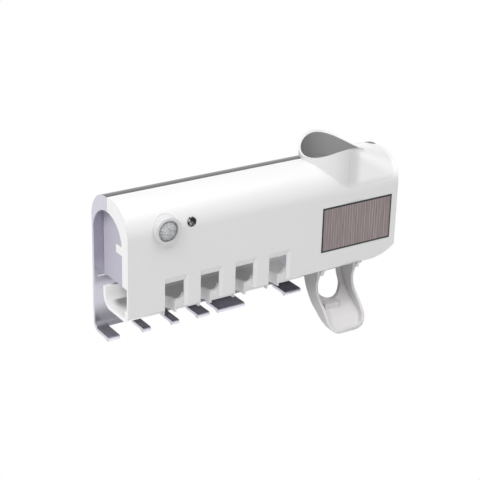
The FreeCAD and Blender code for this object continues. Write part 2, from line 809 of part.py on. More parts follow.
def pump():
    """Funnel, seal, pump cylinder, valves, hollow plunger and spring, all about the tower's axis."""
    base = v.base_level
    foot = base + v.tower_foot
    outer = v.tower_radius - v.tower_wall - v.fit
    wall = v.funnel_wall
    neck = v.neck_radius
    waist = base + v.funnel_waist
    brim = base + v.funnel_top
    funnel = [
        (neck - wall, foot),
        (neck, foot),
        (neck, waist),
        (outer, brim - 2 * wall),
        (outer, brim),
        (outer - wall, brim),
        (outer - wall, brim - 1.4 * wall),
        (neck - wall, waist + wall),
    ]
    node("funnel", turned("funnel", funnel, TOWER_X, TOWER_Y))
    inner = neck - wall - v.fit
    seal_top = foot + v.seal_height
    bore = v.seal_bore
    lip = inner - bore
    seal = [
        (bore + 0.25 * lip, foot),
        (inner, foot),
        (inner, seal_top),
        (bore + 0.6 * lip, seal_top),
        (bore, seal_top - 0.4 * v.seal_height),
    ]
    node("tube_seal", turned("tube_seal", seal, TOWER_X, TOWER_Y))

    plate_low = foot - v.pump_flange
    pump_low = base + v.pump_foot
    shoulder = 2
    cylinder = [
        (v.inlet_radius, foot),
        (v.tower_radius, foot),
        (v.tower_radius, plate_low),
        (v.pump_radius, plate_low),
        (v.pump_radius, pump_low),
        (v.stem_radius + v.fit, pump_low),
        (v.stem_radius + v.fit, pump_low + shoulder),
        (v.pump_bore, pump_low + shoulder),
        (v.pump_bore, plate_low),
        (v.inlet_radius, plate_low),
    ]
    flat = block("pump_flat", (f"{TOWER_X} - tower_radius", f"{TOWER_X} + tower_radius"),
                 (FRONT, f"{COVER_FACE} + fit"), (above_base("pump_foot"), above_base("tower_foot")))
    node("pump_cylinder", cut("pump_cylinder", turned("pump_body", cylinder, TOWER_X, TOWER_Y), flat))
    valve_low = plate_low - v.valve_thickness
    stub = v.inlet_radius - v.fit
    inlet = [
        (0, valve_low),
        (v.valve_radius, valve_low),
        (v.valve_radius, plate_low),
        (stub, plate_low),
        (stub, foot),
        (0, foot),
    ]
    node("inlet_valve", turned("inlet_valve", inlet, TOWER_X, TOWER_Y))

    head = base + v.piston_level
    collar_low = number(PIVOT_Z) + v.finger_radius + v.touch_gap
    collar_high = collar_low + v.collar_height
    groove = 1.4
    piston = v.pump_bore - v.piston_slack
    root = piston - groove
    ring_low = head + 0.3 * v.piston_height
    ring_high = head + 0.7 * v.piston_height
    tip = base - v.nozzle_drop
    plunger = [
        (v.outlet_radius, tip),
        (v.nozzle_radius, tip),
        (v.stem_radius, collar_low),
        (v.collar_radius, collar_low),
        (v.collar_radius, collar_high),
        (v.stem_radius, collar_high),
        (v.stem_radius, head),
        (piston, head),
        (piston, ring_low),
        (root, ring_low),
        (root, ring_high),
        (piston, ring_high),
        (piston, head + v.piston_height),
        (v.outlet_radius, head + v.piston_height),
    ]
    node("pump_plunger", turned("pump_plunger", plunger, TOWER_X, TOWER_Y))
    rub = v.pump_bore - v.fit / 4
    ring = [(root, ring_low), (rub, ring_low), (rub, ring_high), (root, ring_high)]
    node("piston_ring", turned("piston_ring", ring, TOWER_X, TOWER_Y))
    bill = v.outlet_radius
    bill_high = head + v.piston_height
    outlet = [
        (0.3, bill_high - 5),
        (0.8, bill_high - 5),
        (bill - 0.1, bill_high - 2),
        (bill - 0.1, bill_high),
        (bill + 2, bill_high),
        (bill + 2, bill_high + 1),
        (bill - 0.9, bill_high + 1),
        (bill - 0.9, bill_high - 1.6),
    ]
    node("outlet_valve", turned("outlet_valve", outlet, TOWER_X, TOWER_Y))

    wire = v.spring_wire / 2
    low = collar_high + wire + v.touch_gap / 2
    high = pump_low - wire - v.touch_gap / 2
    coil = doc.addObject("Part::Helix", "spring_line")
    coil.Pitch = (high - low) / v.spring_turns
    coil.Height = high - low
    coil.Radius = v.stem_radius + v.spring_wire + v.touch_gap
    section = doc.addObject("Part::RegularPolygon", "spring_section")
    section.Polygon = 4
    section.Circumradius = wire
    section.Placement = Placement(Vector(coil.Radius, 0, 0), Rotation(Vector(1, 0, 0), 90))
    spring = doc.addObject("Part::Sweep", "return_spring")
    spring.Sections = [section]
    spring.Spine = (coil, ["Edge1"])
    spring.Solid = True
    spring.Frenet = True
    spring.Placement = Placement(Vector(number(TOWER_X), number(TOWER_Y), low), Rotation())
    node("return_spring", spring)


def squeeze_lever():
    """Scoop that hangs under the pump: two arms, a swept back with a window, and lifting fingers."""
    base = v.base_level
    front = -v.depth
    x = number(TOWER_X)
    roof = base - v.lever_top
    sole = base - v.lever_drop
    tail = front + v.lever_tail
    nose = front - v.lever_nose
    wall = v.lever_wall
    knee = (front + 0.5 * v.lever_tail, base - 0.68 * v.lever_drop)
    upper = (front + 0.86 * v.lever_tail, base - 0.42 * v.lever_drop)
    lower = (front + 0.15 * v.lever_tail, base - 0.82 * v.lever_drop)
    waist = front + v.lever_waist
    shin = (front + 0.7 * v.lever_waist, base - 0.56 * v.lever_drop)
    side = [
        (waist, roof),
        (tail, roof),
        (upper, knee),
        (lower, (nose + wall, sole)),
        (nose, sole),
        (nose, sole + wall),
        ((front - 0.3 * v.lever_nose, base - 0.76 * v.lever_drop), shin),
        ((waist + 0.13 * v.lever_waist, base - 0.39 * v.lever_drop), (waist, base - 1.5 * v.pivot_drop)),
    ]
    half = v.lever_half
    r = v.lever_corner
    span = (f"{FRONT} - lever_nose - {BEYOND}", f"{FRONT} + lever_tail + {BEYOND}")
    face = [
        (x - half, roof),
        (x - half, sole + r),
        bend((x - half + r, sole + r), r, 180, 270),
        (x + half - r, sole),
        bend((x + half - r, sole + r), r, 270, 360),
        (x + half, roof),
    ]
    across = (f"{TOWER_X} - lever_half", f"{TOWER_X} + lever_half")
    blank = common("lever_blank", prism("lever_side", "YZ_Plane", side, across),
                   prism("lever_face", "XZ_Plane", face, span))
    inner = half - wall
    inner_r = r - wall
    high = roof + BEYOND
    hollow_face = [
        (x - inner, high),
        (x - inner, sole + r),
        bend((x - inner + inner_r, sole + r), inner_r, 180, 270),
        (x + inner - inner_r, sole + wall),
        bend((x + inner - inner_r, sole + r), inner_r, 270, 360),
        (x + inner, high),
    ]
    hollow_side = [
        (nose - BEYOND, high),
        (tail - wall, high),
        (tail - wall, roof),
        ((upper[0] - wall, upper[1] + 0.3 * wall), (knee[0] - 0.7 * wall, knee[1] + 0.7 * wall)),
        ((lower[0] - 0.6 * wall, lower[1] + 0.8 * wall), (nose + wall, sole + wall)),
        (nose - BEYOND, sole + wall),
    ]
    hollow = common("lever_hollow", prism("lever_hollow_side", "YZ_Plane", hollow_side, across),
                    prism("lever_hollow_face", "XZ_Plane", hollow_face, span))
    gap = v.lever_window_half
    sill = base - v.lever_window_foot
    cheek = base - v.lever_window_side
    window = [(x - gap, high), (x - gap, cheek), ((x, sill), (x + gap, cheek)), (x + gap, high)]
    window_tool = prism("lever_window", "XZ_Plane", window, span)
    fingers = []
    finger_root = "(lever_half - lever_wall / 2)"
    ends = (("left", f"- {finger_root}", "- finger_gap"), ("right", "+ finger_gap", f"+ {finger_root}"))
    for name, low, tip in ends:
        fingers.append(rod(f"finger_{name}", "x", "finger_radius", (f"{TOWER_X} {low}", f"{TOWER_X} {tip}"),
                           y=TOWER_Y, z=PIVOT_Z))
    scoop = cut("lever_scoop", blank, hollow, window_tool)
    notch_left = f"{TOWER_X} - notch_left"
    notch = common("lever_notch", blank,
                   block("notch_block", (notch_left, f"{notch_left} + notch_width"),
                         (f"{FRONT} + notch_depth", f"{FRONT} + lever_tail"),
                         ("base_level - notch_top - notch_height", "base_level - notch_top")))
    bore = rod("lever_bore", "x", "pin_radius + pin_slack",
               (f"{TOWER_X} - 2 * lever_half", f"{TOWER_X} + 2 * lever_half"), y=PIVOT_Y, z=PIVOT_Z)
    node("squeeze_lever", cut("squeeze_lever", join("lever_joined", scoop, notch, *fingers), bore))
    arm_in = "lever_half - lever_wall"
    left_pin = rod("left_pin", "x", "pin_radius",
                   (f"{TOWER_X} - lever_half", f"{TOWER_X} - ({arm_in} - ear_gap - ear_width)"),
                   y=PIVOT_Y, z=PIVOT_Z)
    right_pin = rod("right_pin", "x", "pin_radius",
                    (f"{TOWER_X} + {arm_in}", f"{EAR_FACE} + ear_width + touch_gap"), y=PIVOT_Y, z=PIVOT_Z)
    group("lever_pins", [left_pin, right_pin])


def fasteners():
    """Adhesive pad on the wall face, and the screws that hold the cover to the plate."""
    node("adhesive_pad", block("adhesive_pad", ("-pad_width / 2", "pad_width / 2"), ("-pad_thickness", "0"),
                               ("-pad_height / 2", "pad_height / 2")))
    screws = []
    reach = v.screw_reach - v.fit + v.plate_wall
    head = v.screw_head_height
    wide = v.screw_head_radius
    edge = reach + 0.5 * head
    outline = [
        (0, 0),
        (v.screw_radius, 0),
        (v.screw_radius, reach),
        (wide, reach),
        (wide, edge),
        cap(wide, 0.5 * head, edge),
    ]
    for n, (x, z) in enumerate(POSTS, 1):
        screw = turned(f"screw_{n}", outline, x, f"{PLATE_FACE} - screw_reach + fit", z)
        screw.Placement = Placement(screw.Placement.Base, Rotation(Vector(1, 0, 0), -90))
        screws.append(screw)
    group("cover_screws", screws)


arch = arch_tool()
wall_plate(arch)
front_cover(arch)
end_panels()
brush_rack()
motion_sensor()
light_sensor()
electronics()
pump()
squeeze_lever()
fasteners()
doc.recompute()

failed = [item.Name for item in doc.Objects if "Invalid" in item.State or "Error" in item.State]
if failed:
    raise RuntimeError("these failed: " + ", ".join(failed))
for label, item in NODES.items():
    if item.Shape.isNull() or not item.Shape.isValid():
        raise RuntimeError(f"{label} has no valid shape")
os.makedirs("parts", exist_ok=True)
for label, item in NODES.items():
    item.Shape.exportStep(f"parts/{label}.step")
    print(label, len(item.Shape.Solids), round(item.Shape.Volume, 1))
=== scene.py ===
"""Looks and studio for a wall-hung toothbrush holder with a lever-worked toothpaste dispenser."""
import json
from math import cos, pi, radians, sin

import bmesh
import bpy
from mathutils import Matrix, Vector


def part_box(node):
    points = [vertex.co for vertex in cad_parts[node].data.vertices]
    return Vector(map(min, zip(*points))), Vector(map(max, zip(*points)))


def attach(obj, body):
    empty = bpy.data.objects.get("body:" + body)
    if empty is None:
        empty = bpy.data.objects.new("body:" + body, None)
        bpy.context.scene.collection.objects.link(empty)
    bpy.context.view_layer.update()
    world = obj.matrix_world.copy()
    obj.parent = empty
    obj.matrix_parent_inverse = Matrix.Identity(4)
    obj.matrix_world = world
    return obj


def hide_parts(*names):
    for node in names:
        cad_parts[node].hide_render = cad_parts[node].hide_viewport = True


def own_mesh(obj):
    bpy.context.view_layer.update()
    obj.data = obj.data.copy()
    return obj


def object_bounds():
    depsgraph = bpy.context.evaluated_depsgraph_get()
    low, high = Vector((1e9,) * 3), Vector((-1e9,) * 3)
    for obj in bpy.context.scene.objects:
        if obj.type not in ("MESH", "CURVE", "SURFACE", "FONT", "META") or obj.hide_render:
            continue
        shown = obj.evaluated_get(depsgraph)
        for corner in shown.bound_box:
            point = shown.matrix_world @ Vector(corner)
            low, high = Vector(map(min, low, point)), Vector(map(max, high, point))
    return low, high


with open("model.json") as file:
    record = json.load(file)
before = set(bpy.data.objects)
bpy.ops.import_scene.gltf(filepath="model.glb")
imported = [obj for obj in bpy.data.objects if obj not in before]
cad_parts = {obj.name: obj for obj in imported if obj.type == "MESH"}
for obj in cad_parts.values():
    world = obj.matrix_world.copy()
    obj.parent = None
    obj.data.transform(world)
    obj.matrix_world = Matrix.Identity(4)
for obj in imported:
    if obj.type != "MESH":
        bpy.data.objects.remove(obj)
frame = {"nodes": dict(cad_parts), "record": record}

CAD_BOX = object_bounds()

LEFT = (-1.0, 0.0, 0.0)
FRONT = (0.0, -1.0, 0.0)
UP = (0.0, 0.0, 1.0)
# How far a face is turned some way, from 0 to 1, where a look for that way sets in and where it is full.
TURNED = (0.5, 0.9)
# Height of moulded grain, in metres.
RELIEF = 0.0001
# The sockets of a Mix node that take the two values and give the result.
MIX_SOCKETS = {"RGBA": (6, 7, 2), "VECTOR": (4, 5, 1)}

bl_info = {
    "name": "Toothpaste Dispenser",
    "version": (1, 0, 0),
    "blender": (4, 5, 0),
    "location": "View3D > Sidebar > Dispenser",
    "description": "Finishes and studio for a wall-hung toothpaste dispenser",
    "category": "Object",
}


class Value:
    """A shader value whose arithmetic adds the nodes for it."""

    def __init__(self, shader, socket):
        self.shader = shader
        self.socket = socket

    def _math(self, operation, *others):
        return self.shader.node("ShaderNodeMath", {"operation": operation}, self, *others).out()

    def __add__(self, other):
        return self._math("ADD", other)

    def __radd__(self, other):
        return self._math("ADD", other)

    def __sub__(self, other):
        return self._math("SUBTRACT", other)

    def __rsub__(self, other):
        return self.shader.node("ShaderNodeMath", {"operation": "SUBTRACT"}, other, self).out()

    def __mul__(self, other):
        return self._math("MULTIPLY", other)

    def __rmul__(self, other):
        return self._math("MULTIPLY", other)

    def fraction(self):
        return self._math("FRACT")

    def size(self):
        return self._math("ABSOLUTE")

    def over(self, other):
        return self._math("GREATER_THAN", other)

    def most(self, other):
        return self._math("MAXIMUM", other)

    def about(self, middle, spread):
        """Turns a value from 0 to 1 into one that varies by the spread about the middle."""
        return self * spread + (middle - spread / 2)

    def ramp(self, start, end):
        """0 up to start, 1 from end on, smooth between them; it falls where start is above end."""
        settings = {"interpolation_type": "SMOOTHSTEP"}
        return self.shader.node("ShaderNodeMapRange", settings, self, start, end, 0.0, 1.0).out()


class Shader:
    """The node tree of one material or of the world."""

    def __init__(self, name, kind="materials", first="Principled BSDF"):
        store = getattr(bpy.data, kind)
        old = store.get(name)
        if old:
            store.remove(old)
        self.owner = store.new(name)
        self.owner.use_nodes = True
        self.tree = self.owner.node_tree
        self.first = self.tree.nodes[first]
        self.last = None

    def node(self, kind, settings, *inputs, **named):
        """Adds a node; inputs go to its sockets in order, named ones by name."""
        self.last = self.tree.nodes.new(kind)
        for key, setting in settings.items():
            setattr(self.last, key, setting)
        for socket, value in zip(self.last.inputs, inputs):
            self.feed(socket, value)
        for key, value in named.items():
            self.feed(self.last.inputs[key], value)
        return self

    def feed(self, socket, value):
        if isinstance(value, Value):
            self.tree.links.new(value.socket, socket)
        elif value is not None:
            socket.default_value = value

    def out(self, name=0):
        return Value(self, self.last.outputs[name])

    def parts(self, vector):
        """The x, y and z of a vector."""
        split = self.node("ShaderNodeSeparateXYZ", {}, vector).last
        return [Value(self, socket) for socket in split.outputs]

    def place(self):
        """The point on the part, in metres."""
        return self.node("ShaderNodeTexCoord", {}).out("Object")

    def from_corner(self, spot, name):
        """How far a point is to the right of, behind and above a CAD node's lowest front left corner."""
        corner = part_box(name)[0]
        return [part - start for part, start in zip(self.parts(spot), corner)]

    def facing(self, way):
        """How far the surface is turned some way, from -1 to 1."""
        normal = self.node("ShaderNodeNewGeometry", {}).out("True Normal")
        return self.node("ShaderNodeVectorMath", {"operation": "DOT_PRODUCT"}, normal, way).out("Value")

    def noise(self, spot, scale, detail=2.0):
        return self.node("ShaderNodeTexNoise", {}, Vector=spot, Scale=scale, Detail=detail).out(0)

    def mix(self, factor, first, second, kind="RGBA"):
        """A colour or vector between two."""
        first_socket, second_socket, result = MIX_SOCKETS[kind]
        node = self.node("ShaderNodeMix", {"data_type": kind}).last
        self.feed(node.inputs[0], factor)
        self.feed(node.inputs[first_socket], first)
        self.feed(node.inputs[second_socket], second)
        return Value(self, node.outputs[result])

    def bump(self, height, strength, normal=None):
        sockets = {"Strength": strength, "Distance": RELIEF, "Height": height, "Normal": normal}
        return self.node("ShaderNodeBump", {}, **sockets).out()

    def soft_edge(self, radius):
        return self.node("ShaderNodeBevel", {"samples": 6}, radius).out()

    def surface(self, **sockets):
        """Sets the shader's sockets; underscores stand for spaces."""
        for key, value in sockets.items():
            self.feed(self.first.inputs[key.replace("_", " ")], value)
        return self.owner

    def white_to_rays(self, glow, output):
        """Shows plain white to the camera and in reflections, and the first shader to all other light."""
        path = self.node("ShaderNodeLightPath", {}).last
        kinds = ("Is Camera Ray", "Is Glossy Ray", "Is Transmission Ray")
        camera_ray, glossy_ray, clear_ray = (Value(self, path.outputs[kind]) for kind in kinds)
        seen = camera_ray.most(glossy_ray).most(clear_ray)
        white = self.node(glow, {}, grey(1.0), 1.0).out()
        mixed = self.node("ShaderNodeMixShader", {}, seen, Value(self, self.first.outputs[0]), white).out()
        self.feed(self.tree.nodes[output].inputs["Surface"], mixed)


def grey(level):
    return (level, level, level, 1.0)


def tone(colour, share=1.0):
    """A colour for a socket, made darker or lighter by a share."""
    return (*(part * share for part in colour), 1.0)


def dress(material, *names):
    """Gives a material to CAD nodes, whole."""
    for name in names:
        for slot in frame["nodes"][name].material_slots:
            slot.material = material


def circle(count):
    """The cosine and sine of evenly spaced angles, once round."""
    angles = [2 * pi * step / count for step in range(count)]
    return [(cos(angle), sin(angle)) for angle in angles]


def bridge(work, first, second):
    """Faces between two closed rings of points."""
    for here in range(len(first)):
        after = (here + 1) % len(first)
        work.faces.new((first[here], second[here], second[after], first[after]))


def new_piece(name, build, material, body):
    """A mesh piece built by a function on a bmesh, riding on a body."""
    mesh = bpy.data.meshes.new(name)
    work = bmesh.new()
    build(work)
    bmesh.ops.recalc_face_normals(work, faces=work.faces)
    work.to_mesh(mesh)
    work.free()
    piece = bpy.data.objects.new(name, mesh)
    bpy.context.scene.collection.objects.link(piece)
    mesh.materials.append(material)
    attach(piece, body)
    return piece


def colour_property(name, description, default):
    return bpy.props.FloatVectorProperty(name=name, description=description, default=default, size=3,
                                         subtype="COLOR", min=0.0, max=1.0)


def number_property(name, description, default, **limits):
    return bpy.props.FloatProperty(name=name, description=description, default=default, **limits)


def length_property(name, description, default):
    return number_property(name, description, default, unit="LENGTH")


def angle_property(name, description, degrees):
    return number_property(name, description, radians(degrees), subtype="ANGLE")


def power_property(name, description, default):
    return number_property(name, description, default, unit="POWER")


def count_property(name, description, default):
    return bpy.props.IntProperty(name=name, description=description, default=default, min=3)


class DispenserFinish(bpy.types.PropertyGroup):
    white: colour_property("White", "Colour of the white mouldings", (0.80, 0.80, 0.80))
    # Painted shade: a darker copy of the white for the motion sensor's ring.
    bezel: colour_property("Bezel", "Colour of the motion sensor's ring", (0.68, 0.68, 0.69))
    # A slightly warm white, which is the lever's own, made darker than the mouldings' white as painted
    # shade.
    lever: colour_property("Lever", "Colour of the lever", (0.73, 0.715, 0.72))
    # Painted light: a lighter copy of the white for the cover's open end and shoulder.
    rim: colour_property("Rim", "Colour of the cover's open end and shoulder", (0.96, 0.96, 0.96))
    inner: colour_property("Inner white", "Colour of the mouldings inside", (0.62, 0.62, 0.62))
    # Painted shade of the tower's inside.
    bore: colour_property("Bore", "Colour of the tower's inside", (0.42, 0.42, 0.42))
    # A white a little darker than the mouldings', as painted shade on the rack's lips; the rack's open end
    # takes it too.
    lip: colour_property("Lip", "Colour of the rack's lips and open end", (0.74, 0.74, 0.74))
    # Painted shade of the rack's inside.
    shade: colour_property("Shade", "Colour of the rack's inside", (0.52, 0.52, 0.52))
    # Painted light: an emission on the rack, though it is no lamp.
    glow: colour_property("Glow", "Light that comes through the rack's walls", (0.115, 0.115, 0.115))
    silver: colour_property("Silver", "Colour of the wall plate", (0.66, 0.64, 0.72))
    # Painted reflection: the darker front of the wall plate's upper part.
    dull: colour_property("Dull silver", "Colour of the wall plate's upper part", (0.50, 0.48, 0.55))
    # Painted shade: the dark front edge of the roof strip.
    seam: colour_property("Seam", "Colour of the roof strip's front edge", (0.10, 0.095, 0.105))
    # Painted shade and dark reflection on the plate: the tongues' upper faces, the bend and the part behind
    # the rack.
    tongue: colour_property("Tongue", "Colour of the tongues' upper faces", (0.48, 0.47, 0.53))
    panel: colour_property("Panel", "Colour of the end panel", (0.58, 0.56, 0.66))
    lens: colour_property("Lens", "Colour of the motion sensor's lens", (0.56, 0.56, 0.57))
    # Painted glints: the specks in the dark eye.
    glint: colour_property("Glint", "Colour of the specks in the dark eye", (0.45, 0.45, 0.45))
    cell: colour_property("Solar cell", "Colour of the solar strips", (0.25, 0.20, 0.20))
    line: colour_property("Solar line", "Colour of the lines between strips", (0.52, 0.46, 0.46))
    border: colour_property("Border", "Colour of the solar panel's border", (0.012, 0.012, 0.015))
    border_width: length_property("Border width", "Width of the solar panel's border", 0.0013)
    strips: count_property("Strips", "Strips of the solar panel", 26)
    gloss: number_property("Gloss", "Roughness of the white mouldings", 0.32, min=0.0, max=1.0)
    wire: length_property("Wire", "Diameter of the return spring's wire", 0.001)
    turns: count_property("Turns", "Turns of the return spring", 5)
    edge: length_property("Edge", "Radius that edges catch light over", 0.0006)
    neck: length_property("Neck", "Radius that the tower's front runs into the shoulder with", 0.004)


class DispenserStage(bpy.types.PropertyGroup):
    lens: number_property("Lens", "Focal length in mm on a 36 mm sensor", 101.18)
    place: bpy.props.FloatVectorProperty(name="Place", description="Camera place", subtype="TRANSLATION",
                                         unit="LENGTH", default=(-0.57244, -0.88143, 0.44387))
    yaw: angle_property("Yaw", "Camera turn to the left", -33.48)
    pitch: angle_property("Pitch", "Camera height angle", 23.01)
    roll: angle_property("Roll", "Camera roll", 1.47)
    floor: length_property("Floor", "Level of the floor", -0.14)
    sky: number_property("Sky", "Strength of the even light", 0.42)
    top_light: power_property("Top light", "Power of the lamp above", 8.2)
    left_light: power_property("Left light", "Power of the lamp at the left", 7.8)


def white_plastic(name, settings, white, flank_shade=1.0):
    """Smooth white moulding with a faint ripple and uneven gloss, with painted light and shade set by
    place; the given share darkens its low faces turned left, as painted shade.
    """
    shader = Shader(name)
    spot = shader.place()
    x, y, z = shader.parts(spot)
    to_left = shader.facing(LEFT)
    low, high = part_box("funnel")
    reach = (high.x - low.x) / 2
    away_x = x - (low.x + high.x) / 2
    away_y = y - (low.y + high.y) / 2

    # Pairs are places in metres: where a colour sets in and where it is full.
    cloud = shader.noise(spot, scale=38.0, detail=3.0)
    colour = shader.mix(cloud, tone(white, 0.985), tone(white))

    # Painted shade: low faces turned left are darkened by the given share.
    pin_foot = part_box("lever_pins")[0].z
    flank_level = (pin_foot + 0.0066, pin_foot + 0.0006)
    flank_face = to_left.ramp(0.4, 0.8) * z.ramp(*flank_level)
    colour = shader.mix(flank_face, colour, tone(white, flank_shade))

    # Painted light: faces turned left at the cover's open end, and the shoulder's front faces, take the
    # lighter rim colour.
    left_end = CAD_BOX[0].x
    end_side = (left_end + 0.006, left_end + 0.002)
    open_end = to_left.ramp(*TURNED) * x.ramp(*end_side)
    shoulder_level = (high.z - 0.013, high.z - 0.005)
    shoulder_side = (0.004, 0.014)
    raised = shader.facing(FRONT).ramp(*TURNED) * z.ramp(*shoulder_level)
    shoulder = raised * away_x.ramp(*shoulder_side)
    colour = shader.mix(open_end.most(shoulder), colour, tone(settings.rim))

    # Painted shade: a darker band on the tower's front where it runs into the shoulder.
    turn_left = (-0.020, 0.0)
    turn_right = (0.010, 0.001)
    tower_front_shade = raised * away_x.ramp(*turn_left) * away_x.ramp(*turn_right)
    colour = shader.mix(tower_front_shade, colour, tone(white, 0.88))

    # Painted shade inside the tower: the bore colour, darker on the left and on faces turned up. The bore
    # ends a little outside the funnel, so this pair is in square metres past its rim.
    rim_margin = (2e-5, 4e-5)
    past_rim = away_x * away_x + away_y * away_y - reach ** 2
    bore_foot = (low.z - 0.003, low.z)
    bore = (1.0 - past_rim.ramp(*rim_margin)) * z.ramp(*bore_foot)
    bore_side = (-reach, reach * 0.6)
    hollow_shade = shader.mix(away_x.ramp(*bore_side), tone(settings.bore, 0.75), tone(settings.bore))
    hollow_shade = shader.mix(shader.facing(UP).ramp(*TURNED), hollow_shade, tone(settings.bore, 0.5))
    colour = shader.mix(bore, colour, hollow_shade)

    neck_half = (0.012, 0.006)
    neck_depth = (-reach * 0.5, -reach * 0.8)
    neck = (away_x - reach * 0.25).size().ramp(*neck_half) * away_y.ramp(*neck_depth)
    soft = shader.mix(neck, shader.soft_edge(settings.edge), shader.soft_edge(settings.neck), "VECTOR")
    normal = shader.bump(shader.noise(spot, scale=900.0), 0.05, soft)
    rough = cloud.about(settings.gloss, 0.06)
    return shader.surface(Base_Color=colour, Roughness=rough, Normal=normal, IOR=1.48)


class DISPENSER_OT_cover(bpy.types.Operator):
    """Finish the front cover, the sensor's bezel, the lever and the funnel"""
    bl_idname = "dispenser.cover"
    bl_label = "Finish Cover"

    def execute(self, context):
        settings = context.scene.dispenser_finish
        dress(white_plastic("white_moulding", settings, settings.white), "front_cover", "funnel")
        # The ring's darker white is painted shade.
        dress(white_plastic("bezel_moulding", settings, settings.bezel), "pir_bezel")
        # The lever's darker white and its darkened low left faces are painted shade.
        dress(white_plastic("lever_moulding", settings, settings.lever, flank_shade=0.78), "squeeze_lever")
        return {"FINISHED"}


class DISPENSER_OT_rack(bpy.types.Operator):
    """Finish the brush rack, with painted shade inside the trough and a painted glow for light through its
    walls
    """
    bl_idname = "dispenser.rack"
    bl_label = "Finish Rack"

    def execute(self, context):
        settings = context.scene.dispenser_finish
        shader = Shader("rack_moulding")
        spot = shader.place()
        along, depth, _ = shader.from_corner(spot, "brush_rack")

        # Pairs are metres from the rack's corner: where a colour sets in and where it is full.
        open_end = (0.010, 0.026)
        lip_depth = (0.0004, 0.0031)
        floor_end = (0.003, 0.011)
        floor_depth = (0.0116, 0.0296)
        last_window = (0.125, 0.150)
        past_end = along.ramp(*open_end)
        inside = depth.ramp(*lip_depth) * past_end
        # Painted shadow: faces turned up deep in the trough go to seven tenths of the shade.
        floor = shader.facing(UP).ramp(0.62, 0.74) * depth.ramp(*floor_depth) * along.ramp(*floor_end)
        # Painted shade: behind the front lips and past the open end the rack takes the shade colour;
        # elsewhere the lip colour.
        colour = shader.mix(inside, tone(settings.lip), tone(settings.shade))
        colour = shader.mix(floor, colour, tone(settings.shade, 0.7))
        # Painted light: an emission glow stands in for light through the rack's thin walls; none on the
        # front lips, doubled by the last window and at the open end.
        bright = tone(settings.glow, 2.0)
        glow = shader.mix(along.ramp(*last_window), tone(settings.glow), bright)
        glow = shader.mix(inside, grey(0.0), glow)
        glow = shader.mix(past_end.most(floor), bright, glow)

        rough = shader.noise(spot, scale=60.0, detail=3.0).about(0.38, 0.08)
        normal = shader.bump(shader.noise(spot, scale=900.0), 0.05, shader.soft_edge(settings.edge))
        rack = shader.surface(Base_Color=colour, Roughness=rough, Normal=normal, Emission_Color=glow,
                              Emission_Strength=1.0)
        dress(rack, "brush_rack")
        return {"FINISHED"}


class DISPENSER_OT_plate(bpy.types.Operator):
    """Finish the silver wall plate, its tongues and the end panel"""
    bl_idname = "dispenser.plate"
    bl_label = "Finish Plate"

    def execute(self, context):
        settings = context.scene.dispenser_finish
        self.finish_plate(settings)
        self.finish_end_panel(settings)
        return {"FINISHED"}

    def finish_plate(self, settings):
        shader = Shader("silver_plating")
        spot = shader.place()
        along, depth, rise = shader.from_corner(spot, "wall_plate")
        to_front = shader.facing(FRONT)
        ahead = to_front.ramp(0.3, 0.8)
        upward = shader.facing(UP)

        # Pairs are metres from the plate's corner: where a colour sets in and where it is full.
        # Painted reflection: the front of the plate's upper part is darker.
        upper_level = (0.0506, 0.0686)
        upper = to_front.ramp(*TURNED) * rise.ramp(*upper_level)
        colour = shader.mix(upper, tone(settings.silver), tone(settings.dull))

        # Painted shade: the plate's bend into the tongues, turned to the front, is dark.
        bend_level = (0.0276, 0.0116)
        bend_depth = (0.007, 0.015)
        bend_shade = ahead * rise.ramp(*bend_level) * depth.ramp(*bend_depth)
        colour = shader.mix(bend_shade, colour, tone(settings.tongue, 0.58))

        # Painted highlight: the tongues' front tips are lighter silver.
        tip_level = (0.0146, 0.0096)
        tip_depth = (0.005, 0.001)
        tip_highlight = ahead * rise.ramp(*tip_level) * depth.ramp(*tip_depth)
        colour = shader.mix(tip_highlight, colour, tone(settings.silver, 1.3))

        # Painted shade: the plate's front behind the rack, away from its open end, is dark.
        covered_end = (0.012, 0.030)
        covered_level = (0.0146, 0.0186)
        covered_shade = ahead * along.ramp(*covered_end) * rise.ramp(*covered_level)
        colour = shader.mix(covered_shade, colour, tone(settings.tongue))

        # Painted shade: faces turned up at the front of the roof strip are near black.
        roof_level = (0.1146, 0.1206)
        seam_depth = (0.017, 0.007)
        seam = upward.ramp(0.4, 0.9) * rise.ramp(*roof_level) * depth.ramp(*seam_depth)
        colour = shader.mix(seam, colour, tone(settings.seam))

        # Painted reflection: the tongues' faces turned up are dark.
        tongue_level = (0.0186, 0.0066)
        tongue_reflection = upward.ramp(0.15, 0.75) * rise.ramp(*tongue_level)
        colour = shader.mix(tongue_reflection, colour, tone(settings.tongue))

        rough = shader.noise(spot, scale=45.0, detail=3.0).about(0.24, 0.08)
        normal = shader.bump(shader.noise(spot, scale=600.0), 0.03, shader.soft_edge(settings.edge))
        silver = shader.surface(Base_Color=colour, Roughness=rough, Metallic=0.75, Normal=normal)
        dress(silver, "wall_plate")

    def finish_end_panel(self, settings):
        shader = Shader("end_panel_moulding")
        spot = shader.place()
        cloud = shader.noise(spot, scale=30.0)
        colour = shader.mix(cloud, tone(settings.panel, 0.94), tone(settings.panel))
        normal = shader.bump(shader.noise(spot, scale=1400.0), 0.12)
        panel = shader.surface(Base_Color=colour, Roughness=cloud.about(0.40, 0.10), Normal=normal)
        dress(panel, "end_panel")


